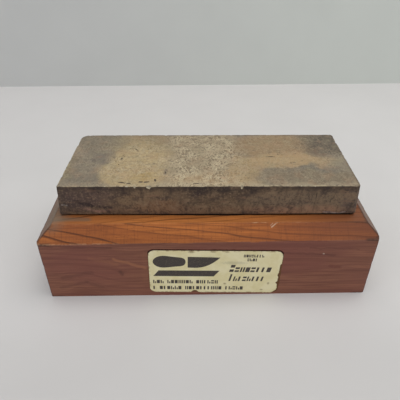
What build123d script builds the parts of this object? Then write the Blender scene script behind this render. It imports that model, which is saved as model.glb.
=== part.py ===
"""Sharpening whetstone: a natural oilstone bonded to the top of a chamfered cedar block.

All sizes are in millimetres. The origin is at the centre of the block's underside,
+X runs along the stone, +Y runs away from the labelled side, and +Z is up.
"""

from build123d import *
from math import cos, radians, sin
import os

os.makedirs("parts", exist_ok=True)

# Cedar block: a length of two-inch rough board, planed to 1 3/4 inch
block_length = 174.0
block_width = 85.0
block_height = 45.0
side_chamfer = 7.0  # along the two long top edges
left_end_chamfer = 6.5  # along the short top edge at the left, which was cut a little deeper
right_end_chamfer = 5.5  # along the short top edge at the right
block_corner_radius = 1.2  # the four upright corners, sanded by hand
block_arris_radius = 0.4  # every edge of the chamfers

# Oilstone: six inches long, bedded on the middle of the block
stone_length = 152.4
stone_width = 58.0
stone_height = 17.5
stone_skew = 0.9  # degrees, clockwise from above: it was set down by eye
stone_shift = 0.6  # and a little to the right of the block's centre
worn_corner_radius = 3.0  # the back left upright corner, rounded by use
stone_corner_radius = 1.6  # the other three upright corners
stone_arris_radius = 0.5

# Adhesive bed between the stone and the block
bed_thickness = 0.6
bed_inset = 1.6  # how far the bed stops short of the stone's edges
bed_corner_radius = 3.0

# Label on the front of the block
label_length = 70.2
label_height = 30.2
label_corner_radius = 4.0
label_offset = 3.5  # centre of the label, to the right of the block's centre
label_middle = 17.2  # centre of the label, above the underside
label_tilt = 1.5  # degrees, clockwise from the front
label_thickness = 0.15
label_film_thickness = 0.05
label_film_inset = 0.4

# Planes of the pieces that were placed by eye
bed_plane = Plane(
    origin=(stone_shift, 0, block_height),
    x_dir=(cos(radians(stone_skew)), -sin(radians(stone_skew)), 0),
    z_dir=(0, 0, 1),
)
stone_plane = bed_plane.offset(bed_thickness)
film_plane = Plane(
    origin=(label_offset, -block_width / 2, label_middle),
    x_dir=(cos(radians(label_tilt)), 0, -sin(radians(label_tilt))),
    z_dir=(0, -1, 0),
)
label_plane = film_plane.offset(label_film_thickness)


def chamfered_profile(width, left_leg, right_leg):
    """Draws the block's outline seen along one of its sides, with its two top corners cut off."""
    Rectangle(width, block_height, align=(Align.CENTER, Align.MIN))
    chamfer(vertices().group_by(Axis.Y)[-1].sort_by(Axis.X)[0], length=left_leg)
    chamfer(vertices().group_by(Axis.Y)[-1].sort_by(Axis.X)[-1], length=right_leg)


# The block is what its end profile and its side profile have in common, so that the
# chamfers meet in straight mitres at the four corners.
with BuildPart() as base_block:
    with BuildSketch(Plane.YZ):
        chamfered_profile(block_width, side_chamfer, side_chamfer)
    extrude(amount=block_length / 2, both=True)
    with BuildSketch(Plane.XZ):
        chamfered_profile(block_length, left_end_chamfer, right_end_chamfer)
    extrude(amount=block_width / 2, both=True, mode=Mode.INTERSECT)
    fillet(edges().filter_by(Axis.Z), radius=block_corner_radius)
    fillet(edges().filter_by(lambda edge: edge.center().Z > 0), radius=block_arris_radius)
base_block.part.label = "base_block"
export_step(base_block.part, "parts/base_block.step")

# The bed stops short of the stone's edges, which leaves a dark line of shadow under them.
with BuildPart() as stone_adhesive:
    with BuildSketch(bed_plane):
        RectangleRounded(
            stone_length - 2 * bed_inset,
            stone_width - 2 * bed_inset,
            bed_corner_radius,
        )
    extrude(amount=bed_thickness)
stone_adhesive.part.label = "stone_adhesive"
export_step(stone_adhesive.part, "parts/stone_adhesive.step")

# The stone's back left corner is the worn one; the other three are the nearest to the
# front right corner.
with BuildPart() as oilstone:
    with BuildSketch(stone_plane):
        Rectangle(stone_length, stone_width)
        fillet(
            vertices().sort_by_distance((-stone_length / 2, stone_width / 2))[0],
            radius=worn_corner_radius,
        )
        fillet(
            vertices().sort_by_distance((stone_length / 2, -stone_width / 2))[:3],
            radius=stone_corner_radius,
        )
    extrude(amount=stone_height)
    fillet(
        edges().group_by(Axis.Z)[0] + edges().group_by(Axis.Z)[-1],
        radius=stone_arris_radius,
    )
oilstone.part.label = "oilstone"
export_step(oilstone.part, "parts/oilstone.step")

with BuildPart() as label_adhesive:
    with BuildSketch(film_plane):
        RectangleRounded(
            label_length - 2 * label_film_inset,
            label_height - 2 * label_film_inset,
            label_corner_radius - label_film_inset,
        )
    extrude(amount=label_film_thickness)
label_adhesive.part.label = "label_adhesive"
export_step(label_adhesive.part, "parts/label_adhesive.step")

with BuildPart() as label:
    with BuildSketch(label_plane):
        RectangleRounded(label_length, label_height, label_corner_radius)
    extrude(amount=label_thickness)
label.part.label = "label"
export_step(label.part, "parts/label.step")
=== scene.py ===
"""Looks of the sharpening whetstone: a worn natural oilstone on a chamfered cedar block.

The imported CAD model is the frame, and every place is worked out from its nodes. Lengths in this
script are in millimetres, and a mesh is scaled to metres when its object is made.
"""

import math
import random
from math import cos, radians, sin

import bmesh
import bpy
from mathutils import Matrix, Vector, noise


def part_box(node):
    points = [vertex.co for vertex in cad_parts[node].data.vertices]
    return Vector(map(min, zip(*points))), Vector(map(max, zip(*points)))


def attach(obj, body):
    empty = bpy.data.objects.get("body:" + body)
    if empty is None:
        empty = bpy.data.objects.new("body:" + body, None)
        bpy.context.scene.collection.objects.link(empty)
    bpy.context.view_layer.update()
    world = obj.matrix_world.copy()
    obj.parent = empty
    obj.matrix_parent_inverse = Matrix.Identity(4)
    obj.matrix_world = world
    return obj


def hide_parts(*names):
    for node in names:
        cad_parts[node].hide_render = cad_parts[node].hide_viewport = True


MM = 0.001
BODY = "root"
SAME_PLACE = 0.01  # two points that are nearer than this are the same
SMOOTH_ANGLE = 40.0  # faces that meet at less than this many degrees are shaded as one surface

# How the stone and the label were put on by hand
STONE_SKEW = 0.9  # degrees, clockwise from above
LABEL_TILT = 1.5  # degrees, clockwise from the front

# Block
SIDE_CHAMFER = 7.0
FRONT_TAPER = 0.0055  # how fast the front chamfer narrows from left to right
END_CHAMFERS = {-1: (6.8, 6.1), 1: (5.5, 5.2)}  # length and height of each end's chamfer
BLOCK_CORNER = 1.2  # radius of the four upright corners
BLOCK_ARRIS = 0.32
SHORTEST_ARRIS = 3.0  # anything shorter is a facet of a rounded corner
SHARPEST_SMOOTH = 0.5  # radians between the faces of the sharpest edge that needs no rounding
BLOCK_GRID = 1.6
BLOCK_SWAY = (25.0, 0.04)  # size and depth of the unevenness of the planed faces
BLOCK_WEAR = (5.0, 0.3, 0.7, 1.3)  # of its edges: size, least noise that shows, depth and reach
SCRATCH_DEPTH = 0.3
BLOCK_SCRATCHES = (  # x, y, z, length, width and angle in plan of each knock that shows fresh wood
    (35.8, -35.7, 44.8, 2, 0.36, 8),
    (24.5, -35.3, 45, 2.6, 0.3, 4),
    (-20, 35.4, 45, 3, 0.4, 20),
)

# Stone
STONE_ARRIS = 0.6
STONE_GRID = 1.1
STONE_CORNERS = {(-1, -1): 0.9, (1, -1): 2.0, (1, 1): 2.0, (-1, 1): 4.8}  # radius of each
STONE_WAVES = ((9.0, 0.08), (2.5, 0.06))  # size and depth of the unevenness of its faces
STONE_WEAR = (2.2, 0.15, 1.1, 1.2)  # of its edges: size, least noise that shows, depth and reach
END_LEANS = {-1: 1.5, 1: 0.9}  # how much further out the foot of each end stands than its top
LEAN_POWER = 6  # how sharply the lean is gathered at the ends
UNDERSIDE = 1.0  # everything in the lowest mm follows the cement
FRONT_CHIPS = (  # x along the front top arris, then half the width, depth and height
    (-29.6, 1.5, 0.9, 1.5),
    (16.8, 0.75, 0.8, 1.6),
    (-37, 0.6, 0.5, 1.2),
)
SMALL_CHIPS = 16
SMALL_CHIP_SIZES = (0.35, 0.9)
LONG_SIDE_SHARE = 0.75  # of the small chips
PIT_DEPTH = 0.35
TOP_PITS = (  # x, y, length, width and angle
    (-43.8, -25.4, 3.6, 1.1, -12),
    (-40.4, -26.2, 2.6, 0.9, -6),
    (-34.2, -24.8, 2.4, 1.3, 0),
    (-31.2, -24.9, 2.8, 1.2, 5),
    (-27.1, -23.4, 1.4, 2.8, 10),
    (-22.4, -15.6, 0.7, 2.6, 12),
    (-47.7, -0.6, 0.9, 1.6, 0),
    (-48.4, -7, 0.7, 0.9, 0),
    (-41, 10, 0.6, 2.6, 35),
    (45.2, -5.8, 0.4, 3, -8),
    (35, 1.3, 2.6, 0.5, 4),
    (-6.2, -26.4, 3, 0.6, 3),
)
FRONT_CRACKS = (  # x, top, bottom and width, on the front face
    (54.6, 4.5, 0.9, 0.3),
    (62.3, 2.4, -1.8, 0.28),
    (-31.6, -4.2, -8, 0.35),
)
CRACK_DEPTH = 0.25
LUMP_ROUGHNESS = 0.5  # of the lumps that chips, pits and scratches are cut with

# Cement between them
BED_CORNER = 3.0
BED_LIFT = 0.3  # how much thicker the cement is at the stone's right end
BED_LIFT_START = 20.0
BED_LIFT_END = 76.0
BED_SPREAD = 1.8  # how far it is pushed out past its CAD outline, to just past the stone's edge, so that its black side is painted shade for the shadow line under the stone
BED_REACH_PER_GAP = 2.0  # and how much further for each mm that it is thicker
BED_WANDER = 0.3  # how uneven its rim is

# Label
LABEL_CORNER = 3.4
LABEL_GRID = 2.0
LABEL_CURL = 31.0  # from here to its right end, the label has begun to lift
LABEL_LIFT = 0.16
FRAY_SIZE = 0.9
COARSE_FRAY = 0.22  # depth along the torn right edge and the bottom one
FINE_FRAY = 0.07  # and along the others
TORN_EDGE = (  # how far in from the right edge, and height, from the bottom right corner up
    (3.2, -15.1),
    (0.9, -12.8),
    (0.6, -11.2),
    (0.9, -8.6),
    (1.9, -7.6),
    (0.9, -6.2),
    (0.8, -3.2),
    (1.4, -1.6),
    (0.8, 0.4),
    (0.8, 5.4),
    (0.1, 6.6),
)
BOTTOM_NOTCH = (  # x and rise
    (-12.6, 0.1),
    (-11.6, 1.2),
    (-10.6, 1.6),
    (-9.8, 1.5),
    (-8.6, 0.3),
    (-7, -0.1),
)
GUM_MARGIN = Vector((0.35, 0.4))  # how far the gum stands out past the label's ends and sides
GUM_RISE = 0.45  # how much higher than the label it shows
GUM_WANDER = 0.3  # how uneven its rim is
INK_THICKNESS = 0.02
WORD_GAP = 0.8  # between words, in widths of a stroke's cell
TALL_START = 1.5  # how much taller a slanting word's first stroke is
PRINT_ROWS = (  # left, bottom, length, height, slant and the strokes in each word
    (-33.2, -8.4, 35.4, 2.5, 0, (3, 7, 6)),
    (-33.4, -13, 49.6, 2.5, 0, (1, 6, 10, 5)),
    (14.6, 10.9, 10.8, 1.9, 0, (8,)),
    (16.6, 8.2, 5.7, 1.9, 0, (4,)),
    (7.5, 0.4, 22.6, 3.4, 0.2, (8,)),
    (7.4, -6.4, 19.8, 3.4, 0.2, (8,)),
)
STROKES = (  # rectangles in a cell one wide and one high: left, bottom, right, top
    ((0.05, 0, 0.45, 1),),
    ((0, 0, 0.32, 1), (0.5, 0, 0.82, 1)),
    ((0, 0, 0.8, 0.36), (0, 0.62, 0.8, 1)),
    ((0, 0, 0.32, 1), (0.5, 0, 0.82, 0.55)),
    ((0, 0, 0.8, 1),),
)

# Camera and stage
CAMERA_PLACE = (-5.99, -204.22, 176.68)
CAMERA_PITCH = 34.81  # degrees below the horizontal
CAMERA_TURN = -0.605  # degrees, as is the roll
CAMERA_ROLL = -0.288
CAMERA_LENS = 37.69
WALL_PLACE = 296.0
STAGE_SPREAD = 1500.0  # half the width of the floor and of the wall
SKY_COLOUR = (0.93, 0.95, 1.0, 1.0)
SKY_STRENGTH = 0.73
LAMP_PLACE = Vector((140.0, 160.0, 1100.0))
LAMP_TARGET = Vector((0.0, 60.0, 0.0))
LAMP_SIZE = (1.1, 0.9)  # metres
LAMP_POWER = 8.6
LAMP_COLOUR = (1.0, 0.97, 0.93)


def srgb(red, green, blue):
    """A colour given as 8-bit screen values, as the linear RGBA that shaders take."""
    linear = []
    for value in (red, green, blue):
        share = value / 255
        linear.append(share / 12.92 if share <= 0.04045 else ((share + 0.055) / 1.055) ** 2.4)
    return (*linear, 1.0)


# -------- shader building


class Paint:
    """One material, with short calls that add nodes to it and join them up."""

    def __init__(self, name, roughness=0.6, gloss=0.5):
        self.material = bpy.data.materials.new(name)
        self.material.use_nodes = True
        self.tree = self.material.node_tree
        self.shader = self.tree.nodes["Principled BSDF"]
        self.shader.inputs["Roughness"].default_value = roughness
        self.shader.inputs["Specular IOR Level"].default_value = gloss
        metres = self.node("TexCoord").outputs["Object"]
        self.place = self.vector("MULTIPLY", metres, (1 / MM, 1 / MM, 1 / MM))
        self.normal = self.node("NewGeometry").outputs["Normal"]

    def node(self, kind, inputs=None, **settings):
        node = self.tree.nodes.new("ShaderNode" + kind)
        for name, value in settings.items():
            setattr(node, name, value)
        for name, value in (inputs or {}).items():
            if isinstance(value, bpy.types.NodeSocket):
                self.tree.links.new(value, node.inputs[name])
            else:
                node.inputs[name].default_value = value
        return node

    def vector(self, operation, first, second):
        node = self.node("VectorMath", {0: first, 1: second}, operation=operation)
        return node.outputs["Value" if operation in ("LENGTH", "DISTANCE") else "Vector"]

    def maths(self, operation, first, second=0.0, clamp=False):
        node = self.node("Math", {0: first, 1: second}, operation=operation, use_clamp=clamp)
        return node.outputs["Value"]

    def axis(self, vector, letter):
        return self.node("SeparateXYZ", {"Vector": vector}).outputs[letter]

    def facing(self, letter):
        """How squarely the surface faces along an axis, either way: from 0 to 1."""
        return self.maths("ABSOLUTE", self.axis(self.normal, letter))

    def noise_node(self, size, detail, roughness=0.5, stretch=(1, 1, 1), place=None, seed=0.0):
        scale = [1 / (size * amount) for amount in stretch]
        scaled = self.vector("MULTIPLY", place or self.place, scale)
        moved = self.vector("ADD", scaled, (seed, 2 * seed, 3 * seed))
        inputs = {"Vector": moved, "Scale": 1.0, "Detail": detail, "Roughness": roughness}
        return self.node("TexNoise", inputs)

    def noise(self, size, detail=2.0, *others, **named):
        """Cloudy noise from 0 to 1 whose patches are about size mm across, or stretch times that."""
        return self.noise_node(size, detail, *others, **named).outputs["Fac"]

    def noise_vector(self, size, detail, seed=0.0):
        colour = self.noise_node(size, detail, seed=seed).outputs["Color"]
        return self.vector("SUBTRACT", colour, (0.5, 0.5, 0.5))

    def ease(self, value, start, end, low=0.0, high=1.0):
        """Goes smoothly from low to high as value goes from start to end."""
        inputs = {"Value": value, "From Min": start, "From Max": end, "To Min": low, "To Max": high}
        return self.node("MapRange", inputs, interpolation_type="SMOOTHSTEP").outputs["Result"]

    def mix(self, share, first, second, blend="MIX"):
        inputs = {0: share, 6: first, 7: second}  # the colour sockets share their names with others
        return self.node("Mix", inputs, data_type="RGBA", blend_type=blend).outputs[2]

    def chain(self, operation, values):
        result = values[0]
        for value in values[1:]:
            result = self.maths(operation, result, value)
        return result

    def product(self, *values):
        return self.chain("MULTIPLY", values)

    def total(self, *values):
        return self.chain("ADD", values)

    def blotch(self, centre, size, soft=0.35, place=None, ragged=0.0):
        """1 inside an ellipsoid and 0 outside it. An axis that it doesn't stop along has size 0."""
        scale = [1 / amount if amount else 0.0 for amount in size]
        offset = self.vector("SUBTRACT", place or self.place, centre)
        scaled = self.vector("MULTIPLY", offset, scale)
        distance = self.vector("LENGTH", scaled, (0, 0, 0))
        return self.ease(self.total(distance, ragged), 1 + soft, 1 - soft)

    def streak(self, start, end, width, place=None):
        """1 along a straight stroke from start to end, that many mm wide, and 0 away from it."""
        run = Vector(end) - Vector(start)
        offset = self.vector("SUBTRACT", place or self.place, start)
        along = self.node("VectorMath", {0: offset, 1: run}, operation="DOT_PRODUCT").outputs["Value"]
        share = self.maths("DIVIDE", along, run.length_squared, clamp=True)
        reached = self.node("VectorMath", {0: run, "Scale": share}, operation="SCALE").outputs["Vector"]
        distance = self.vector("DISTANCE", offset, reached)
        return self.ease(distance, 0.9 * width, 0.1 * width)

    def wander(self, size, reach, detail=2.0, seed=0.0):
        """The place on the piece, moved about by up to reach mm over patches of that size."""
        move = self.vector("MULTIPLY", self.noise_vector(size, detail, seed), reach)
        return self.vector("ADD", self.place, move)

    def centred(self, value, amount):
        """A noise's value, spread evenly about 0."""
        return self.product(self.maths("SUBTRACT", value, 0.5), amount)

    def paint_on(self, colour, share, strength, tone):
        return self.mix(self.product(share, strength), colour, srgb(*tone))

    def grade(self, value, start, end, first, second):
        """Goes smoothly from the first tone to the second as value goes from start to end."""
        return self.mix(self.ease(value, start, end), srgb(*first), srgb(*second))

    def tint(self, colour, value, start, end, strength, tone):
        """Paints a tone on, from not at all where value is start up to that strength at end."""
        return self.mix(self.ease(value, start, end, 0.0, strength), colour, srgb(*tone))

    def paint_patches(self, colour, patches, place, ragged):
        for centre, size, soft, strength, tone in patches:
            patch = self.blotch(centre, size, soft, place, ragged)
            colour = self.paint_on(colour, patch, strength, tone)
        return colour

    def paint_marks(self, colour, marks, place=None):
        for start, end, width, strength, tone in marks:
            colour = self.paint_on(colour, self.streak(start, end, width, place), strength, tone)
        return colour

    def edge(self):
        """How far the surface is from its piece's nearest edge, in mm."""
        return self.node("Attribute", attribute_name="edge").outputs["Fac"]

    def bump(self, height, depth):
        """Relief that is depth mm deep where height goes from 0 to 1."""
        inputs = {"Height": height, "Distance": depth * MM, "Strength": 1.0}
        return self.node("Bump", inputs).outputs["Normal"]

    def finish(self, colour, roughness=None, normal=None):
        for name, socket in (("Base Color", colour), ("Roughness", roughness), ("Normal", normal)):
            if socket:
                self.tree.links.new(socket, self.shader.inputs[name])
        return self.material


# -------- materials


PITH = (0.0, 6.0, -59.0)  # a point on the middle of the tree, which ran nearly along the block
RING_WIDTH = 1.35
GRAIN_LEAN = 0.0385  # how fast the rings run down from left to right, at the middle of the block
GRAIN_CURVE = 0.000175  # and how much slower that gets for each mm to the right
KNOTS = (  # centre, reach and push of each swirl in the grain
    ((-46.4, -44, 17.4), 5, 2.2),
    ((-69, -44, 11), 10, -5.5),
    ((67, -43, 19.5), 4, 1.6),
    ((30, 43, 20), 9, 4),
)
FRONT_MARKS = (  # start, end, width, strength and colour of each mark on the block
    ((-49.5, -42.5, 27.2), (-33.5, -42.5, 20.8), 1.6, 0.4, (176, 118, 80)),
    ((-62, -42.5, 27.5), (-48, -42.5, 24), 2, 0.25, (158, 104, 74)),
    ((-47, -42.5, 18.4), (-46, -42.5, 16.6), 1.8, 0.45, (66, 38, 32)),
    ((-78, -42.5, 14), (-62, -42.5, 18), 2.2, 0.35, (84, 50, 42)),
    ((-80, -42.5, 7), (-66, -42.5, 11), 1.8, 0.35, (84, 50, 42)),
    ((-66, -42.5, 11), (-58, -42.5, 7), 1.8, 0.3, (84, 50, 42)),
    ((-34, -42.5, 12), (-33, -42.5, 30), 3, 0.25, (140, 92, 66)),
    ((38, -42.5, 30.4), (66, -42.5, 28.6), 1.2, 0.45, (82, 46, 40)),
    ((52, -42.5, 33.4), (78, -42.5, 32.6), 0.8, 0.35, (82, 46, 40)),
    ((65, -42.5, 20), (69.5, -42.5, 19.6), 2.2, 0.45, (100, 50, 42)),
    ((59.6, -42.5, 29.5), (60.1, -42.5, 29.3), 0.7, 0.8, (196, 178, 160)),
    ((32.4, -37.4, 43.1), (34.8, -35.7, 44.8), 0.6, 0.5, (220, 196, 168)),
    ((32.6, -36, 44.5), (31.8, -36.8, 43.7), 0.5, 0.35, (220, 196, 168)),
    ((22, -35.5, 45), (29, -35.7, 44.8), 0.5, 0.3, (212, 176, 136)),
    ((-82, -31, 45), (-62, -31.4, 45), 3, 0.6, (112, 98, 80)),
    ((-87, -42.5, 37), (-50, -42.5, 35), 0.9, 0.4, (74, 42, 36)),
)


def ring_number(paint):
    """Counts growth rings outwards from the pith. Also gives the place that the fibres follow."""
    warp = paint.vector("MULTIPLY", paint.noise_vector(60.0, 2.0), (0, 3, 3))
    bent = paint.vector("ADD", paint.place, warp)
    from_pith = paint.vector("SUBTRACT", bent, PITH)
    radius = paint.vector("LENGTH", paint.vector("MULTIPLY", from_pith, (0, 1, 1)), (0, 0, 0))
    x = paint.axis(paint.place, "X")
    radius = paint.total(radius, paint.product(x, GRAIN_LEAN), paint.product(x, x, -GRAIN_CURVE))
    for centre, reach, push in KNOTS:
        away = paint.maths("DIVIDE", paint.vector("DISTANCE", paint.place, centre), reach)
        swell = paint.maths("EXPONENT", paint.product(away, away, -1.0))
        radius = paint.total(radius, paint.product(swell, push))
    return paint.maths("DIVIDE", radius, RING_WIDTH), bent


def cedar():
    """Red cedar: rings round a pith under the block. Orange on the chamfers and purplish brown on the sides
    is painted light: one wood, lit where it faces up to the lamp and shaded on the upright sides.
    """
    paint = Paint("cedar", gloss=0.3)
    x = paint.axis(paint.place, "X")
    upright = paint.ease(paint.facing("Z"), 0.62, 0.35)
    sloping = paint.maths("SUBTRACT", 1.0, upright)
    end_grain = paint.ease(paint.facing("X"), 0.8, 0.95)

    ring, bent = ring_number(paint)
    uneven = paint.product(paint.noise(5.0, 1.0, place=bent, stretch=(12, 1, 1)), 0.5)
    ring = paint.total(ring, uneven)
    phase = paint.maths("FRACT", ring)
    strength = paint.node(
        "TexWhiteNoise", {"W": paint.maths("FLOOR", ring)}, noise_dimensions="1D"
    ).outputs["Value"]
    rise = paint.ease(phase, 0.68, 0.9)
    fall = paint.ease(phase, 1.0, 0.93)
    late = paint.product(rise, fall, paint.ease(strength, 0.15, 0.9, 0.15, 1.0))

    band_place = paint.node("CombineXYZ", {"X": ring, "Y": paint.product(x, 0.004)}).outputs["Vector"]
    bands = paint.node(
        "TexNoise", {"Vector": band_place, "Scale": 0.42, "Detail": 2.0}, noise_dimensions="2D"
    ).outputs["Fac"]
    fibre = paint.noise(0.9, 3.0, stretch=(26, 1, 1), place=bent)
    fine = paint.noise(0.3, 2.0, stretch=(20, 1, 1))
    clouds = paint.noise(24.0, 3.0, stretch=(2.2, 1, 1), seed=3.0)
    saw = paint.noise(0.55, 2.0, stretch=(1, 20, 20), seed=5.0)
    pores = paint.noise(0.7, 2.0, 0.6, stretch=(1.5, 1, 1), seed=9.0)

    # Painted light: the two tones below are one wood painted twice, an orange lit copy for the chamfers
    # that face up to the lamp and a darker purplish shaded copy for the upright sides.
    bright = paint.grade(fibre, 0.25, 0.75, (138, 76, 28), (184, 108, 48))
    bright = paint.tint(bright, bands, 0.42, 0.62, 0.45, (126, 66, 28))
    bright = paint.tint(bright, clouds, 0.4, 0.7, 0.6, (138, 74, 36))
    bright = paint.tint(bright, saw, 0.5, 0.75, 0.3, (96, 50, 24))
    bright = paint.tint(bright, pores, 0.62, 0.72, 0.5, (84, 44, 24))
    shaded_plum = paint.grade(fibre, 0.25, 0.75, (116, 71, 55), (146, 96, 74))
    shaded_plum = paint.tint(shaded_plum, clouds, 0.4, 0.7, 0.7, (126, 74, 64))
    shaded_plum = paint.tint(shaded_plum, bands, 0.42, 0.66, 0.26, (92, 50, 42))
    colour = paint.mix(upright, bright, shaded_plum)
    # Painted highlight: faces that lie level, square to the lamp, are painted a lighter orange still.
    lit_level = paint.ease(paint.axis(paint.normal, "Z"), 0.8, 0.95)
    colour = paint.paint_on(colour, lit_level, 0.3, (196, 130, 70))
    to_right = paint.ease(x, 25.0, 88.0, 0.0, 0.75)
    towards_end = paint.total(to_right, paint.ease(x, -50.0, -88.0, 0.0, 0.3))
    colour = paint.mix(paint.product(towards_end, sloping), colour, srgb(104, 60, 42))
    end_slope = paint.ease(paint.facing("X"), 0.45, 0.65)
    colour = paint.paint_on(colour, paint.product(end_slope, sloping), 0.85, (124, 102, 88))
    # The latewood lines get the same painted light: orange where lit on the chamfers, purplish in shade on
    # the sides.
    line = paint.mix(upright, srgb(66, 30, 12), srgb(82, 44, 38))
    colour = paint.mix(paint.product(late, paint.ease(upright, 0.0, 1.0, 0.8, 0.18)), colour, line)
    colour = paint.paint_on(colour, end_grain, 0.5, (84, 50, 40))
    colour = paint.tint(colour, fine, 0.58, 0.8, 0.35, (76, 40, 30))

    wavy = paint.wander(6.0, (3, 1, 3), seed=15.0)
    colour = paint.paint_marks(colour, FRONT_MARKS, wavy)

    # Wear: pale along the lower front arris at the left, dust beside the stone's left end
    edge = paint.edge()
    rubbed_here = paint.blotch((-71.0, -42.5, 38.0), (22.0, 4.0, 3.0), 0.5)
    patchy = paint.ease(paint.noise(1.6, 3.0, seed=8.0), 0.36, 0.6)
    scuffed = paint.product(paint.ease(edge, 0.5, 0.1), patchy)
    dusty = paint.ease(paint.noise(3.0, 3.0, seed=8.0), 0.3, 0.5, 0.5, 1.0)
    dust = paint.product(paint.blotch((-81.0, -18.0, 45.0), (8.0, 20.0, 5.0), 0.5), dusty)
    colour = paint.paint_on(colour, dust, 0.75, (118, 102, 84))
    ends = paint.ease(paint.maths("ABSOLUTE", x), 79.0, 81.5)
    dirty = paint.product(paint.ease(edge, 0.9, 0.3), ends)
    colour = paint.paint_on(colour, dirty, 0.65, (52, 36, 30))
    colour = paint.paint_on(colour, scuffed, paint.ease(rubbed_here, 0.0, 1.0, 0.08, 0.45), (186, 142, 106))

    # Relief: latewood stands up a little, and the saw left fine lines across the chamfers
    fibrous = paint.product(paint.total(late, fibre), 0.5)
    height = paint.total(fibrous, paint.product(paint.total(fine, saw), 0.4))
    roughness = paint.ease(fibre, 0.2, 0.8, 0.5, 0.66)
    return paint.finish(colour, roughness, paint.bump(height, 0.06))


def two_tone(name, size, detail, first, second, relief, gloss=0.5):
    """A rough material whose tone wanders between two. Relief is how deep its bumps are, in mm."""
    paint = Paint(name, 0.7, gloss)
    colour = paint.mix(paint.noise(size, detail), srgb(*first), srgb(*second))
    return paint.finish(colour, normal=paint.bump(paint.noise(0.4, 2.0), relief))


def raw_wood():
    """Fresh cedar where something has scratched or knocked the block."""
    return two_tone("raw_wood", 0.8, 2.0, (196, 150, 108), (222, 190, 156), 0.04, 0.3)


HONED_PATCHES = (  # centre, half size, softness, strength and colour of each area on top
    ((-38, 20, 0), (18, 14, 0), 0.4, 0.75, (144, 124, 92)),
    ((-40, 8, 0), (20, 13, 0), 0.25, 0.75, (158, 139, 102)),
    ((-38, -10, 0), (19.5, 22, 0), 0.22, 0.9, (172, 150, 110)),
    ((-64, 20, 0), (14, 12, 0), 0.4, 0.8, (112, 103, 88)),
    ((-2, 0, 0), (20, 60, 0), 0.22, 0.85, (148, 131, 104)),
    ((0, -23, 0), (22, 8, 0), 0.45, 0.55, (174, 146, 108)),
    ((40, 14, 0), (25, 18, 0), 0.35, 0.8, (146, 120, 86)),
    ((40, -3.5, 0), (27, 7.5, 0), 0.3, 0.85, (168, 142, 104)),
    ((20, -16, 0), (8, 14, 0), 0.4, 0.8, (160, 136, 98)),
    ((54, -20, 0), (28, 9, 0), 0.3, 0.8, (118, 104, 84)),
    ((56, -12.5, 0), (13, 2.4, 0), 0.6, 0.6, (100, 96, 88)),
    ((71, 18, 0), (17, 15, 0), 0.45, 0.9, (80, 71, 62)),
    ((8, -29, 0), (66, 3.5, 0), 0.6, 0.5, (176, 160, 130)),
    ((-58, 2, 0), (6, 8, 0), 0.45, 0.65, (100, 92, 86)),
    ((-76, -10, 0), (4.5, 12, 0), 0.5, 0.5, (132, 114, 74)),
    ((6, -20.6, 0), (1.5, 1.2, 0), 0.5, 0.45, (150, 84, 58)),
    ((-34, -20, 0), (7, 3, 0), 0.5, 0.45, (168, 138, 76)),
)
SIDE_PATCHES = (  # the same for the front side, whose height runs from -8.75 to 8.75
    ((-62, 0, 2), (15, 0, 9), 0.45, 0.55, (90, 71, 68)),
    ((-76, 0, 0), (6, 0, 12), 0.5, 0.45, (64, 52, 53)),
    ((-33, 0, 0.5), (17, 0, 8), 0.3, 0.75, (126, 102, 76)),
    ((-24, 0, -4), (12, 0, 4.5), 0.45, 0.5, (122, 84, 56)),
    ((8, 0, -2), (22, 0, 8), 0.4, 0.55, (106, 86, 64)),
    ((6, 0, 8.4), (21, 0, 4.6), 0.4, 0.75, (56, 44, 37)),
    ((-45, 0, 6.5), (12, 0, 3), 0.5, 0.45, (70, 56, 48)),
    ((50, 0, -1), (30, 0, 7.5), 0.35, 0.75, (122, 103, 82)),
    ((8, 0, -6), (66, 0, 2.6), 0.5, 0.4, (136, 106, 80)),
    ((50, 0, -6.3), (26, 0, 2.4), 0.5, 0.8, (146, 112, 88)),
    ((73, 0, 0), (5, 0, 9), 0.5, 0.45, (88, 74, 70)),
)
SIDE_MARKS = (  # start, end, width, strength and colour of the marks on the front side
    ((-64, -29, -4.6), (-57, -29, -6.4), 1.5, 0.7, (156, 122, 104)),
    ((-57, -29, -6.4), (-50.5, -29, -5.6), 1.2, 0.6, (148, 112, 96)),
    ((-67, -29, -0.8), (-60, -29, -3.2), 1.8, 0.75, (42, 33, 34)),
    ((-60, -29, -3.2), (-50, -29, -4.2), 1.6, 0.65, (42, 33, 34)),
    ((-54, -29, -4.4), (-51.5, -29, -8), 1.4, 0.6, (46, 36, 35)),
    ((-76, -29, -2.6), (-72.5, -29, -3), 0.5, 0.65, (186, 176, 166)),
    ((60, -29, -7.6), (71, -29, -7.4), 0.7, 0.55, (176, 164, 160)),
    ((-13, -29, -1), (8, -29, -1.4), 0.5, 0.45, (46, 36, 32)),
    ((20, -29, -0.5), (34, -29, -3), 0.6, 0.35, (52, 42, 36)),
)
HONED_MARKS = (  # and on the honing face
    ((-47.6, 0.2, 8.75), (-47.9, -1.4, 8.75), 1.5, 0.6, (84, 72, 62)),
    ((-42.5, 12, 8.75), (-39.5, 8, 8.75), 1, 0.45, (92, 78, 62)),
    ((33, 1.3, 8.75), (37, 1.1, 8.75), 1.4, 0.5, (92, 76, 60)),
    ((-22.2, -13, 8.75), (-22.6, -17.5, 8.75), 1.8, 0.55, (96, 82, 80)),
    ((-6.5, -26.5, 8.75), (-3, -26.4, 8.75), 1.4, 0.5, (98, 88, 84)),
)


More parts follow.
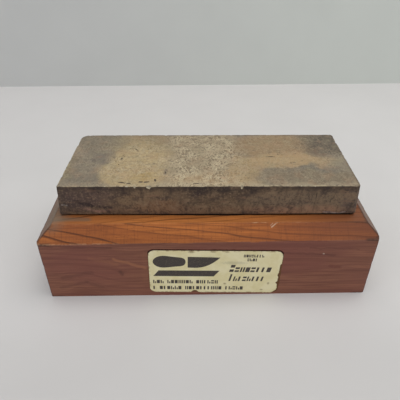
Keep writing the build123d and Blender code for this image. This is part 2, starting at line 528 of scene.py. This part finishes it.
def honed_face(paint, grains, grit, clouds):
    """The honing face: tan, grey and brown areas with ragged borders, and a flaky band between them."""
    strayed = paint.wander(13.0, (17, 17, 0), 5.0, seed=1.0)
    twisted = paint.wander(4.0, (4, 4, 4), seed=13.0)
    ragged = paint.centred(grains, 0.9)

    colour = paint.grade(clouds, 0.35, 0.65, (130, 119, 102), (112, 103, 90))
    colour = paint.paint_patches(colour, HONED_PATCHES, strayed, ragged)
    colour = paint.paint_marks(colour, HONED_MARKS)

    rosy = paint.noise(6.0, 3.0, seed=25.0)
    colour = paint.tint(colour, rosy, 0.52, 0.66, 0.2, (160, 124, 94))
    colour = paint.tint(colour, rosy, 0.46, 0.34, 0.3, (142, 134, 106))

    # Flakes: pale and dark worm-like crumbs, thickest in the band left of the middle
    band = paint.blotch((-2.0, 0.0, 0.0), (20.0, 70.0, 0), 0.35, strayed, ragged)
    beside = paint.product(paint.blotch((-38.0, -6.0, 0.0), (22.0, 26.0, 0), 0.4, strayed, ragged), 0.5)
    flaky = paint.maths("MAXIMUM", band, beside)
    clumps = paint.ease(paint.noise(9.0, 2.0, seed=19.0), 0.35, 0.62, 0.35, 1.0)
    pale_worms = paint.noise(3.0, 5.0, 0.74, (1, 1.7, 1), twisted, 11.0)
    dark_worms = paint.noise(2.6, 5.0, 0.74, (1, 1.5, 1), twisted, 17.0)
    for worms, tone, usual, most in (
        (dark_worms, (92, 80, 64), 0.22, 0.75),
        (pale_worms, (200, 185, 154), 0.20, 0.75),
    ):
        line = paint.ease(paint.maths("ABSOLUTE", paint.maths("SUBTRACT", worms, 0.5)), 0.07, 0.01)
        strength = paint.ease(flaky, 0.0, 1.0, usual, most)
        colour = paint.paint_on(colour, paint.product(line, clumps), strength, tone)

    # Grit everywhere, and faint strokes from the tools that were drawn along the stone
    colour = paint.tint(colour, grains, 0.52, 0.72, 0.45, (176, 160, 130))
    colour = paint.tint(colour, grains, 0.46, 0.3, 0.55, (92, 80, 66))
    colour = paint.tint(colour, grit, 0.56, 0.75, 0.45, (78, 68, 56))
    strokes = paint.noise(0.7, 2.0, stretch=(18, 1, 1), seed=21.0)
    colour = paint.tint(colour, strokes, 0.56, 0.75, 0.3, (86, 76, 64))
    spots = paint.noise(2.4, 2.0, 0.5, seed=23.0)
    return paint.tint(colour, spots, 0.66, 0.74, 0.55, (92, 78, 66))


def stone_sides(paint, grains, grit, clouds):
    """The sides, dark with old oil, with rusty seams, and painted shade along their lowest edge."""
    strayed = paint.wander(8.0, (10, 0, 5), 5.0, seed=6.0)
    wavy = paint.wander(3.0, (3, 0, 3), 4.0, seed=29.0)
    ragged = paint.centred(grains, 0.9)
    colour = paint.grade(clouds, 0.35, 0.65, (104, 84, 64), (84, 67, 54))
    colour = paint.paint_patches(colour, SIDE_PATCHES, strayed, ragged)
    colour = paint.paint_marks(colour, SIDE_MARKS, wavy)
    stains = paint.noise(6.0, 5.0, 0.65, (1.5, 1, 1), seed=31.0)
    colour = paint.tint(colour, stains, 0.5, 0.64, 0.6, (60, 47, 45))
    colour = paint.tint(colour, stains, 0.46, 0.36, 0.45, (138, 114, 88))
    colour = paint.tint(colour, grains, 0.5, 0.66, 0.45, (144, 122, 96))
    colour = paint.tint(colour, grains, 0.48, 0.32, 0.6, (44, 34, 30))
    drips = paint.noise(2.2, 3.0, 0.6, (1, 1, 4), wavy, 33.0)
    colour = paint.tint(colour, drips, 0.5, 0.7, 0.45, (54, 43, 38))
    seams = paint.noise(1.2, 3.0, 0.6, (9, 1, 1), wavy, 35.0)
    colour = paint.tint(colour, seams, 0.56, 0.72, 0.45, (138, 104, 80))
    height = paint.total(paint.axis(paint.place, "Z"), paint.product(stains, 9.0))
    colour = paint.tint(colour, height, 8.5, 13.5, 0.6, (44, 35, 30))
    colour = paint.tint(colour, grit, 0.58, 0.75, 0.4, (40, 32, 28))
    # Painted shade: the lowest strip of the sides, just over the cement, is darkened nearly to black for
    # the shadow under the stone.
    foot_shade = paint.ease(paint.axis(paint.place, "Z"), -8.2, -8.6, 0.0, 0.7)
    return paint.mix(foot_shade, colour, srgb(28, 20, 18))


def oilstone():
    """Natural oilstone: a mottled tan and grey honing face, and dark sides."""
    paint = Paint("oilstone", gloss=0.35)
    grit = paint.noise(0.5, 3.0, 0.7)
    grains = paint.noise(1.1, 4.0, 0.7, seed=2.0)
    clouds = paint.noise(14.0, 4.0, 0.6, seed=4.0)
    top = paint.ease(paint.axis(paint.normal, "Z"), 0.45, 0.8)
    honed = honed_face(paint, grains, grit, clouds)
    colour = paint.mix(top, stone_sides(paint, grains, grit, clouds), honed)

    # The top arris is worn down to pale stone
    edge = paint.edge()
    rubbed = paint.product(
        paint.ease(edge, 1.1, 0.2),
        paint.ease(paint.axis(paint.place, "Z"), 6.0, 8.2),
        paint.ease(paint.noise(3.0, 4.0, 0.6, seed=7.0), 0.38, 0.6),
        top,
    )
    colour = paint.paint_on(colour, rubbed, 0.7, (186, 170, 138))
    bites = paint.product(
        paint.ease(edge, 1.4, 0.3),
        paint.ease(paint.noise(1.3, 3.0, 0.6, seed=27.0), 0.54, 0.6),
        top,
    )
    colour = paint.paint_on(colour, bites, 0.7, (74, 62, 52))
    far_side = paint.maths(
        "MAXIMUM",
        paint.ease(paint.axis(paint.place, "Y"), 25.0, 27.0),
        paint.ease(paint.axis(paint.place, "X"), 72.0, 74.0),
    )
    smeared = paint.product(paint.ease(edge, 1.8, 0.3), far_side, top)
    colour = paint.paint_on(colour, smeared, paint.ease(clouds, 0.35, 0.6, 0.25, 0.75), (82, 70, 60))
    height = paint.total(paint.product(grains, 0.8), paint.product(grit, 0.5))
    roughness = paint.ease(grains, 0.3, 0.7, 0.62, 0.8)
    return paint.finish(colour, roughness, paint.bump(height, 0.12))


def fresh_stone():
    """The inside of a chip, where the stone shows its own pale colour."""
    return two_tone("fresh_stone", 0.8, 3.0, (196, 186, 162), (154, 140, 114), 0.06)


def grime():
    """Old oil and dirt packed into a pit or a crack."""
    return two_tone("grime", 0.6, 2.0, (66, 56, 46), (98, 84, 68), 0.05)


def cement():
    """Contact cement, painted nearly black as painted shade: its side stands for the dark shadow line under
    the stone.
    """
    paint = Paint("contact_cement", 0.8, gloss=0.15)
    brown = paint.mix(paint.noise(2.5, 3.0), srgb(24, 16, 12), srgb(42, 28, 20))
    # Painted shade: blacker still towards the stone's right end, where the gap under the stone is taller.
    colour = paint.mix(paint.ease(paint.axis(paint.place, "X"), 10.0, 50.0), brown, srgb(10, 7, 5))
    return paint.finish(colour, normal=paint.bump(paint.noise(1.2, 3.0), 0.1))


def gum():
    """Label gum that has crept out and caught dirt."""
    paint = Paint("label_gum", 0.7, gloss=0.2)
    brown = paint.mix(paint.noise(1.5, 3.0), srgb(84, 52, 34), srgb(122, 88, 56))
    black = paint.mix(paint.noise(1.5, 3.0), srgb(46, 20, 14), srgb(70, 34, 24))
    colour = paint.mix(paint.ease(paint.axis(paint.place, "Y"), 9.0, 14.0), brown, black)
    return paint.finish(colour, normal=paint.bump(paint.noise(0.8, 2.0), 0.03))


LABEL_STAINS = (  # centre, half size, softness, strength and colour of each
    ((10, 6.9, 0), (6, 1, 0), 0.6, 0.4, (168, 164, 136)),
    ((-2.6, 10.6, 0), (1.8, 0.8, 0), 0.6, 0.35, (156, 152, 122)),
    ((-12.7, 14.4, 0), (1.6, 0.7, 0), 0.6, 0.6, (120, 92, 52)),
    ((-1.5, 14.6, 0), (1.4, 0.6, 0), 0.6, 0.55, (120, 92, 52)),
    ((5.7, 14.6, 0), (1.2, 0.6, 0), 0.6, 0.5, (120, 92, 52)),
    ((5.7, -8.5, 0), (0.7, 0.6, 0), 0.6, 0.6, (126, 104, 70)),
    ((26.2, -13, 0), (0.8, 0.5, 0), 0.6, 0.6, (126, 104, 70)),
    ((29.4, -8, 0), (0.6, 0.8, 0), 0.6, 0.55, (126, 104, 70)),
)


def label_paper():
    """Yellowed paper with a faint fibre, rubbed grey in places and stained along its edges."""
    paint = Paint("label_paper", gloss=0.4)
    clouds = paint.noise(9.0, 4.0, 0.6)
    flecks = paint.noise(0.8, 3.0, 0.7, seed=2.0)
    colour = paint.grade(clouds, 0.35, 0.65, (236, 226, 184), (226, 214, 164))
    colour = paint.tint(colour, flecks, 0.64, 0.85, 0.3, (186, 168, 120))
    ragged = paint.centred(flecks, 1.6)
    colour = paint.paint_patches(colour, LABEL_STAINS, paint.place, ragged)
    patchy = paint.ease(paint.noise(2.2, 3.0, seed=5.0), 0.48, 0.62)
    stained = paint.product(paint.ease(paint.edge(), 1.1, 0.1), patchy)
    colour = paint.paint_on(colour, stained, 0.6, (140, 110, 70))
    normal = paint.bump(paint.total(paint.noise(0.25, 2.0), clouds), 0.02)
    roughness = paint.ease(clouds, 0.3, 0.7, 0.5, 0.65)
    return paint.finish(colour, roughness, normal)


def ink():
    """Printing ink, thin and rubbed."""
    paint = Paint("label_ink")
    worn = paint.noise(0.5, 3.0, 0.7)
    colour = paint.grade(worn, 0.5, 0.8, (58, 50, 46), (120, 108, 84))
    return paint.finish(colour, paint.ease(worn, 0.3, 0.7, 0.45, 0.6))


def stage_paint(name, axis, start, end):
    """A plain sheet whose tone changes along an axis, as painted light that brightens or dims across it.
    Each end is a place in mm and its colour.
    """
    paint = Paint(name, 0.75)
    share = paint.ease(paint.axis(paint.place, axis), start[0], end[0])
    colour = paint.mix(share, srgb(*start[1]), srgb(*end[1]))
    shade = paint.mix(paint.noise(60.0, 2.0), srgb(255, 255, 255), srgb(246, 246, 246))
    colour = paint.mix(1.0, colour, shade, "MULTIPLY")
    return paint.finish(colour, normal=paint.bump(paint.noise(1.5, 2.0), 0.02))


# -------- mesh building


def node_points(node, frame_matrix):
    """A CAD node's vertices, in millimetres, in the frame of that matrix."""
    inverse = frame_matrix.inverted()
    return [inverse @ (vertex.co / MM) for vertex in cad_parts[node].data.vertices]


def extent(points):
    low = Vector([min(point[axis] for point in points) for axis in range(3)])
    high = Vector([max(point[axis] for point in points) for axis in range(3)])
    return low, high


def unit(axis):
    return Vector([float(index == axis) for index in range(3)])


def box_planes(low, high):
    """The six faces of a box, each as a point on it and its outward normal."""
    return [
        (Vector(corner), sign * unit(axis))
        for axis in range(3)
        for corner, sign in ((low, -1), (high, 1))
    ]


def saw(bm, point, normal, **settings):
    everything = bm.verts[:] + bm.edges[:] + bm.faces[:]
    return bmesh.ops.bisect_plane(bm, geom=everything, plane_co=point, plane_no=normal, **settings)


def cut_solid(low, high, cuts):
    """A box with pieces sawn off it. Each cut is a point on the saw's plane and its outward normal."""
    bm = bmesh.new()
    middle = Matrix.Translation((low + high) / 2)
    bmesh.ops.create_cube(bm, size=1.0, matrix=middle @ Matrix.Diagonal((*(high - low), 1)))
    for point, normal in cuts:
        sawn = saw(bm, point, normal, clear_outer=True)
        rim = [part for part in sawn["geom_cut"] if isinstance(part, bmesh.types.BMEdge)]
        bmesh.ops.edgeloop_fill(bm, edges=rim)
    return bm


def round_edges(bm, edges, radius, segments=3):
    shape = {"segments": segments, "profile": 0.5, "clamp_overlap": True}
    bmesh.ops.bevel(bm, geom=edges, offset=radius, offset_type="OFFSET", affect="EDGES", **shape)


def slice_up(bm, step, axes=(0, 1, 2)):
    """Cuts every face into a grid of about that step, so that the surface can be shaped."""
    low, high = extent([vertex.co for vertex in bm.verts])
    for axis in axes:
        count = round((high[axis] - low[axis]) / step)
        for index in range(1, count):
            saw(bm, low + (high - low) * (index / count), unit(axis), dist=SAME_PLACE)


def edge_gap(point, planes):
    """How far a point on a solid is from its nearest edge, which is where two of the planes meet."""
    gaps = sorted(abs((point - place).dot(normal)) for place, normal in planes)
    return gaps[1]


def edge_wear(place, planes, size, least, depth, reach):
    """How deep use has bitten into a solid at a place: most at its edges, and nothing past reach."""
    bite = max(0.0, noise.noise(place / size) - least) * depth
    return bite * max(0.0, 1 - edge_gap(place, planes) / reach)


def flat_noise(point, size):
    """Noise from -1 to 1 along an outline, in patches about size mm long."""
    return noise.noise(Vector((*point, 0)) / size)


def edge_rise(edge):
    return abs(edge.verts[0].co.z - edge.verts[1].co.z)


def mark_edges(piece, planes):
    """Stores the distance to the nearest edge at each vertex, for the wear that shaders paint."""
    attribute = piece.data.attributes.new("edge", "FLOAT", "POINT")
    for index, vertex in enumerate(piece.data.vertices):
        attribute.data[index].value = edge_gap(vertex.co / MM, planes)


def smooth_shade(mesh):
    for polygon in mesh.polygons:
        polygon.use_smooth = True
    mesh.set_sharp_from_angle(angle=radians(SMOOTH_ANGLE))


def place_mesh(bm, name, matrix, material):
    """Makes an object of a mesh drawn in millimetres, in the frame of that matrix."""
    bmesh.ops.scale(bm, vec=(MM, MM, MM), verts=bm.verts)
    bmesh.ops.recalc_face_normals(bm, faces=bm.faces)
    mesh = bpy.data.meshes.new(name)
    bm.to_mesh(mesh)
    bm.free()
    smooth_shade(mesh)
    mesh.materials.append(material)
    piece = bpy.data.objects.new(name, mesh)
    bpy.context.scene.collection.objects.link(piece)
    location, rotation, _ = matrix.decompose()
    piece.matrix_world = Matrix.LocRotScale(location * MM, rotation, None)
    return piece


def carve(piece, lumps, material):
    """Cuts rough lumps out of a piece. The cut faces get that material."""
    cutter = place_mesh(lumps, "cutter", Matrix.Identity(4), material)
    cutter.matrix_world = piece.matrix_world
    cut = piece.modifiers.new("cut", "BOOLEAN")
    cut.operation = "DIFFERENCE"
    cut.solver = "EXACT"
    cut.material_mode = "TRANSFER"
    cut.object = cutter
    bpy.context.view_layer.update()
    evaluated = piece.evaluated_get(bpy.context.evaluated_depsgraph_get())
    carved = bpy.data.meshes.new_from_object(evaluated)
    piece.modifiers.remove(cut)
    plain = piece.data
    piece.data = carved
    bpy.data.meshes.remove(plain)
    bpy.data.objects.remove(cutter)
    smooth_shade(carved)


def add_piece(piece, slot, *nodes):
    """Puts a finished piece on the part, in the place of the CAD nodes that it stands for."""
    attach(piece, BODY)
    if nodes:
        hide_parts(*nodes)


# -------- the block


def make_block():
    low, high = extent(node_points("base_block", Matrix.Identity(4)))
    cuts = []
    for sign in (-1, 1):
        side = Vector((0, sign * (high.y - SIDE_CHAMFER), high.z))
        taper = -FRONT_TAPER if sign < 0 else 0.0
        cuts.append((side, Vector((taper, sign, 1)).normalized()))
        length, height = END_CHAMFERS[sign]
        end = Vector((sign * (high.x - length), 0, high.z))
        cuts.append((end, Vector((sign * height, 0, length)).normalized()))
    planes = box_planes(low, high) + cuts
    bm = cut_solid(low, high, cuts)
    uprights = [edge for edge in bm.edges if edge_rise(edge) > high.z / 2]
    round_edges(bm, uprights, BLOCK_CORNER, 4)
    arrises = [
        edge
        for edge in bm.edges
        if edge.calc_length() > SHORTEST_ARRIS and edge.calc_face_angle() > SHARPEST_SMOOTH
    ]
    round_edges(bm, arrises, BLOCK_ARRIS)
    slice_up(bm, BLOCK_GRID)
    bm.normal_update()
    size, depth = BLOCK_SWAY
    for vertex in bm.verts:
        if vertex.co.z > low.z + SAME_PLACE:
            sway = depth * noise.noise(vertex.co / size)
            vertex.co += vertex.normal * (sway - edge_wear(vertex.co, planes, *BLOCK_WEAR))
    piece = place_mesh(bm, "cedar_block", Matrix.Identity(4), cedar())

    scratches = bmesh.new()
    for x, y, z, length, width, turn in BLOCK_SCRATCHES:
        add_lump(scratches, (x, y, z), (length / 2, width / 2, SCRATCH_DEPTH), turn, x)
    carve(piece, scratches, raw_wood())
    mark_edges(piece, planes)
    add_piece(piece, "cedar", "base_block")


# -------- the stone


def stone_frame(node="oilstone"):
    """The frame that a piece of the stone was made in: its middle, turned by the skew."""
    low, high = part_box(node)
    middle = (low + high) / 2 / MM
    return Matrix.Translation(middle) @ Matrix.Rotation(radians(-STONE_SKEW), 4, "Z")


def add_lump(bm, centre, size, turn=0.0, seed=0.0):
    """Adds a rough lump to cut with: size is its half size, turn its angle in plan in degrees."""
    matrix = (
        Matrix.Translation(centre)
        @ Matrix.Rotation(radians(turn), 4, "Z")
        @ Matrix.Diagonal((*size, 1))
    )
    made = bmesh.ops.create_icosphere(bm, subdivisions=2, radius=1.0, matrix=matrix)
    for vertex in made["verts"]:
        away = vertex.co - Vector(centre)
        swell = noise.noise(vertex.co * 1.2 + Vector((seed, 2 * seed, 0)))
        vertex.co += away * LUMP_ROUGHNESS * swell


def bed_gap(x):
    """How far the stone's underside has risen from the bed's usual top, towards the right end."""
    return BED_LIFT * max(0.0, (x - BED_LIFT_START) / (BED_LIFT_END - BED_LIFT_START))


def make_stone():
    matrix = stone_frame()
    low, high = extent(node_points("oilstone", matrix))
    planes = box_planes(low, high)
    bm = cut_solid(low, high, [])
    for (side_x, side_y), radius in STONE_CORNERS.items():
        corner = Vector((side_x * high.x, side_y * high.y))
        uprights = [
            edge
            for edge in bm.edges
            if all((vertex.co.xy - corner).length < 1 for vertex in edge.verts)
        ]
        round_edges(bm, uprights, radius, 6)
    rims = [edge for edge in bm.edges if edge_rise(edge) < SAME_PLACE]
    round_edges(bm, rims, STONE_ARRIS, 4)
    slice_up(bm, STONE_GRID)
    bm.normal_update()
    for vertex in bm.verts:
        depth = (high.z - vertex.co.z) / (high.z - low.z)
        side_x = 1 if vertex.co.x > 0 else -1
        vertex.co.x += side_x * END_LEANS[side_x] * depth * (vertex.co.x / high.x) ** LEAN_POWER
        if vertex.co.z < low.z + UNDERSIDE:
            vertex.co.z += bed_gap(vertex.co.x)
        else:
            wave = sum(deep * noise.noise(vertex.co / size) for size, deep in STONE_WAVES)
            vertex.co += vertex.normal * (wave - edge_wear(vertex.co, planes, *STONE_WEAR))
    piece = place_mesh(bm, "natural_oilstone", matrix, oilstone())

    chips = bmesh.new()
    for x, width, depth, height in FRONT_CHIPS:
        add_lump(chips, (x, low.y, high.z), (width, depth, height), seed=x)
    draw = random.Random(5)
    for _ in range(SMALL_CHIPS):
        side = draw.choice((-1, 1))
        size = draw.uniform(*SMALL_CHIP_SIZES)
        if draw.random() < LONG_SIDE_SHARE:
            place = (draw.uniform(-70, 72), side * high.y, high.z)
        else:
            place = (side * high.x, draw.uniform(-24, 24), high.z)
        add_lump(chips, place, (size * 1.3, size, size * 0.7), draw.uniform(0, 180), draw.random() * 9)
    carve(piece, chips, fresh_stone())

    pits = bmesh.new()
    for x, y, length, width, turn in TOP_PITS:
        add_lump(pits, (x, y, high.z), (length / 2, width / 2, PIT_DEPTH), turn, x)
    for x, top, bottom, width in FRONT_CRACKS:
        middle = (x, low.y, (top + bottom) / 2)
        add_lump(pits, middle, (width / 2, CRACK_DEPTH, (top - bottom) / 2), 0.0, x)
    carve(piece, pits, grime())
    mark_edges(piece, planes)
    add_piece(piece, "oilstone", "oilstone")


def make_bed():
    """The cement under the stone, pushed out to just past the stone's edge with an uneven rim, so that its
    black side is painted shade for the shadow line under the stone.
    """
    matrix = stone_frame("stone_adhesive")
    low, high = extent(node_points("stone_adhesive", matrix))
    outline = rounded_outline(high.x, high.y, BED_CORNER, 1.5)
    for point in outline:
        wander = BED_WANDER * flat_noise(point, 5.0)
        point += point.normalized() * (BED_SPREAD + BED_REACH_PER_GAP * bed_gap(point.x) + wander)
    bm = slab(outline, low.z, high.z)
    for vertex in bm.verts:
        if vertex.co.z > low.z:
            vertex.co.z += bed_gap(vertex.co.x)
    piece = place_mesh(bm, "cement_bed", matrix, cement())
    add_piece(piece, "contact_cement", "stone_adhesive")


# -------- the label


def rounded_outline(half_x, half_y, radius, step):
    """Points round a rectangle with round corners, anticlockwise, about step apart."""
    points = []
    for index, (side_x, side_y) in enumerate(((1, -1), (1, 1), (-1, 1), (-1, -1))):
        centre = Vector((side_x * (half_x - radius), side_y * (half_y - radius)))
        start = radians(90 * index - 90)
        for turn in range(9):
            angle = start + radians(90) * turn / 8
            points.append(centre + Vector((cos(angle), sin(angle))) * radius)
    return divide_outline(points, step)


def divide_outline(points, step):
    """Adds points to an outline's long runs, so that none is much over step."""
    fine = []
    for index, point in enumerate(points):
        following = points[(index + 1) % len(points)]
        count = max(1, round((following - point).length / step))
        fine.extend(point.lerp(following, number / count) for number in range(count))
    return fine


def add_plate(bm, outline, bottom, top):
    """Adds a flat plate whose outline goes anticlockwise."""
    low = [bm.verts.new((*point, bottom)) for point in outline]
    high = [bm.verts.new((*point, top)) for point in outline]
    bm.faces.new(low[::-1])
    bm.faces.new(high)
    for index in range(len(outline)):
        before = index - 1
        bm.faces.new((low[before], low[index], high[index], high[before]))


def slab(outline, bottom, top):
    bm = bmesh.new()
    add_plate(bm, outline, bottom, top)
    return bm


def label_frame():
    """The label's own frame: X along its length, Y up it and Z out of the block."""
    low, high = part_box("label_adhesive")
    middle = (low + high) / 2 / MM
    middle.y = high.y / MM
    upright = Matrix.Rotation(radians(90), 4, "X")
    return Matrix.Translation(middle) @ Matrix.Rotation(radians(LABEL_TILT), 4, "Y") @ upright


def worn_outline(half_x, half_y):
    """The label's outline, with three whole corners, a torn right edge and a notch at the bottom."""
    outline = rounded_outline(half_x, half_y, LABEL_CORNER, 2 * half_x)
    left_low = [point for point in outline if point.x < 0 and point.y < 0]
    above = [point for point in outline if point.y > 0]
    notch = [Vector((x, height - half_y)) for x, height in BOTTOM_NOTCH]
    torn = [Vector((half_x - inward, y)) for inward, y in TORN_EDGE]
    rough = divide_outline(left_low + notch + torn + above, FRAY_SIZE)
    for point in rough:
        coarse = point.x > half_x - 4 or point.y < 1 - half_y
        fray = COARSE_FRAY if coarse else FINE_FRAY
        point += Vector((1, 1)) * fray * flat_noise(point, FRAY_SIZE)
    return rough


def make_label():
    """The paper and, behind and on it, its gum and its print."""
    matrix = label_frame()
    low, high = extent(node_points("label", matrix))
    half_x, half_y = (high.x - low.x) / 2, (high.y - low.y) / 2
    bm = slab(worn_outline(half_x, half_y), low.z, high.z)
    slice_up(bm, LABEL_GRID, (0, 1))
    for vertex in bm.verts:
        curl = max(0.0, vertex.co.x - LABEL_CURL) / (half_x - LABEL_CURL)
        vertex.co.z += LABEL_LIFT * curl**2 * (0.6 + noise.noise(vertex.co / 7.0))
    piece = place_mesh(bm, "paper_label", matrix, label_paper())
    mark_edges(piece, box_planes(low, high)[:5])  # without the printed face, so only its rim counts
    add_piece(piece, "label_paper", "label")
    make_gum(matrix, half_x, half_y)
    make_print(matrix, high.z)


def make_gum(matrix, half_x, half_y):
    rim = rounded_outline(half_x + GUM_MARGIN.x, half_y + GUM_MARGIN.y, LABEL_CORNER, 1.2)
    for point in rim:
        wander = point.normalized() * GUM_WANDER * flat_noise(point, 2.0)
        point += wander + Vector((0, GUM_RISE))
    low, high = extent(node_points("label_adhesive", matrix))
    film = place_mesh(slab(rim, low.z, high.z), "gum_film", matrix, gum())
    add_piece(film, "label_gum", "label_adhesive")


def make_print(matrix, surface):
    """In place of printing: a knife over a bench stone, and rows of meaningless strokes."""
    black = ink()
    rows = bmesh.new()
    draw = random.Random(11)
    for x, y, length, height, slant, words in PRINT_ROWS:
        add_row(rows, draw, Vector((x, y)), length, height, slant, words, surface)
    add_piece(place_mesh(rows, "print_rows", matrix, black), "label_paper")
    emblem = bmesh.new()
    for outline in (knife_handle(), knife_blade(), emblem_stone()):
        add_plate(emblem, outline, surface, surface + INK_THICKNESS)
    add_piece(place_mesh(emblem, "print_emblem", matrix, black), "label_paper")


def add_row(bm, draw, start, length, height, slant, words, surface):
    """Adds words made of bars and blocks. Those in a slanting row begin with a tall one."""
    cells = sum(words) + WORD_GAP * (len(words) - 1)
    width = length / cells
    x = start.x
    for word in words:
        for number in range(word):
            tall = height * (TALL_START if slant and number == 0 else 1.0)
            for left, bottom, right, top in draw.choice(STROKES):
                corners = []
                for across, up in ((left, bottom), (right, bottom), (right, top), (left, top)):
                    corners.append((x + across * width + slant * up * tall, start.y + up * tall))
                add_plate(bm, corners, surface, surface + INK_THICKNESS)
            x += width
        x += WORD_GAP * width


def knife_handle():
    """A palm-shaped whittling handle, seen from the side."""
    middle = Vector((-24.3, 7.4))
    half_length, half_height, count = 8.6, 4.6, 48
    points = []
    for step in range(count):
        angle = math.tau * step / count
        swell = 1 + 0.16 * cos(2 * angle) + 0.1 * cos(3 * angle)
        along, up = half_length * cos(angle), half_height * sin(angle) * swell
        points.append(middle + Vector((along, up)))
    return points


def knife_blade():
    """A straight spine, and an edge that curves up to the point."""
    points = [Vector((-14.6, 11.0)), Vector((-14.6, 3.4))]
    count = 12
    for step in range(count + 1):
        share = step / count
        points.append(Vector((-11.0 + 13.4 * share, 3.2 + 7.4 * share**2.2)))
    return points


def emblem_stone():
    """A bench stone, seen at a slant."""
    return [Vector(corner) for corner in ((-33.0, -3.0), (-0.5, -3.0), (2.4, 1.2), (-30.0, 1.2))]


# -------- stage


def add_sheet(name, matrix, material):
    sheet = bmesh.new()
    bmesh.ops.create_grid(sheet, x_segments=1, y_segments=1, size=STAGE_SPREAD)
    place_mesh(sheet, name, matrix, material)


def make_stage():
    # Painted light: the floor is painted darker further in front of the block and lighter close to its
    # base.
    floor_paint = stage_paint("floor", "Y", (-100, (202, 200, 198)), (-35, (213, 211, 209)))
    # Painted light: the backdrop is painted lighter towards the right.
    wall_paint = stage_paint("backdrop", "X", (-240, (206, 207, 204)), (200, (212, 216, 209)))
    upright = Matrix.Translation((0, WALL_PLACE, 0)) @ Matrix.Rotation(radians(90), 4, "X")
    add_sheet("floor", Matrix.Identity(4), floor_paint)
    add_sheet("backdrop", upright, wall_paint)


def light_scene():
    """A room that is bright all round, and a large soft lamp over the back of the stone."""
    world = bpy.data.worlds.new("soft_room")
    world.use_nodes = True
    sky = world.node_tree.nodes["Background"].inputs
    sky["Color"].default_value = SKY_COLOUR
    sky["Strength"].default_value = SKY_STRENGTH
    bpy.context.scene.world = world
    light = bpy.data.lights.new("ceiling", "AREA")
    light.shape = "RECTANGLE"
    light.size, light.size_y = LAMP_SIZE
    light.energy = LAMP_POWER
    light.color = LAMP_COLOUR
    lamp = bpy.data.objects.new("ceiling", light)
    lamp.location = LAMP_PLACE * MM
    lamp.rotation_euler = (LAMP_TARGET - LAMP_PLACE).to_track_quat("-Z", "Y").to_euler()
    bpy.context.scene.collection.objects.link(lamp)


def make_camera():
    data = bpy.data.cameras.new("camera")
    data.sensor_width = 36.0
    data.lens = CAMERA_LENS
    camera = bpy.data.objects.new("camera", data)
    camera.location = Vector(CAMERA_PLACE) * MM
    turn = Matrix.Rotation(radians(CAMERA_TURN), 4, "Z")
    pitch = Matrix.Rotation(radians(90 - CAMERA_PITCH), 4, "X")
    roll = Matrix.Rotation(radians(CAMERA_ROLL), 4, "Z")
    camera.rotation_euler = (turn @ pitch @ roll).to_euler()
    bpy.context.scene.collection.objects.link(camera)
    bpy.context.scene.camera = camera


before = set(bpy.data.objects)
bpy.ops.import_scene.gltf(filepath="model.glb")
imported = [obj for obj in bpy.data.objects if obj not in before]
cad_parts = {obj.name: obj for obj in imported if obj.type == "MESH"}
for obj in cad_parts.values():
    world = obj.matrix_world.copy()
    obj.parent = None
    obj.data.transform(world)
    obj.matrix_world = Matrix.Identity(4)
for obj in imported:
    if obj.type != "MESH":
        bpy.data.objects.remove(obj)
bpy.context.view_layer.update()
make_camera()
make_block()
make_bed()
make_stone()
make_label()
make_stage()
light_scene()
bpy.context.scene.view_settings.view_transform = "Standard"
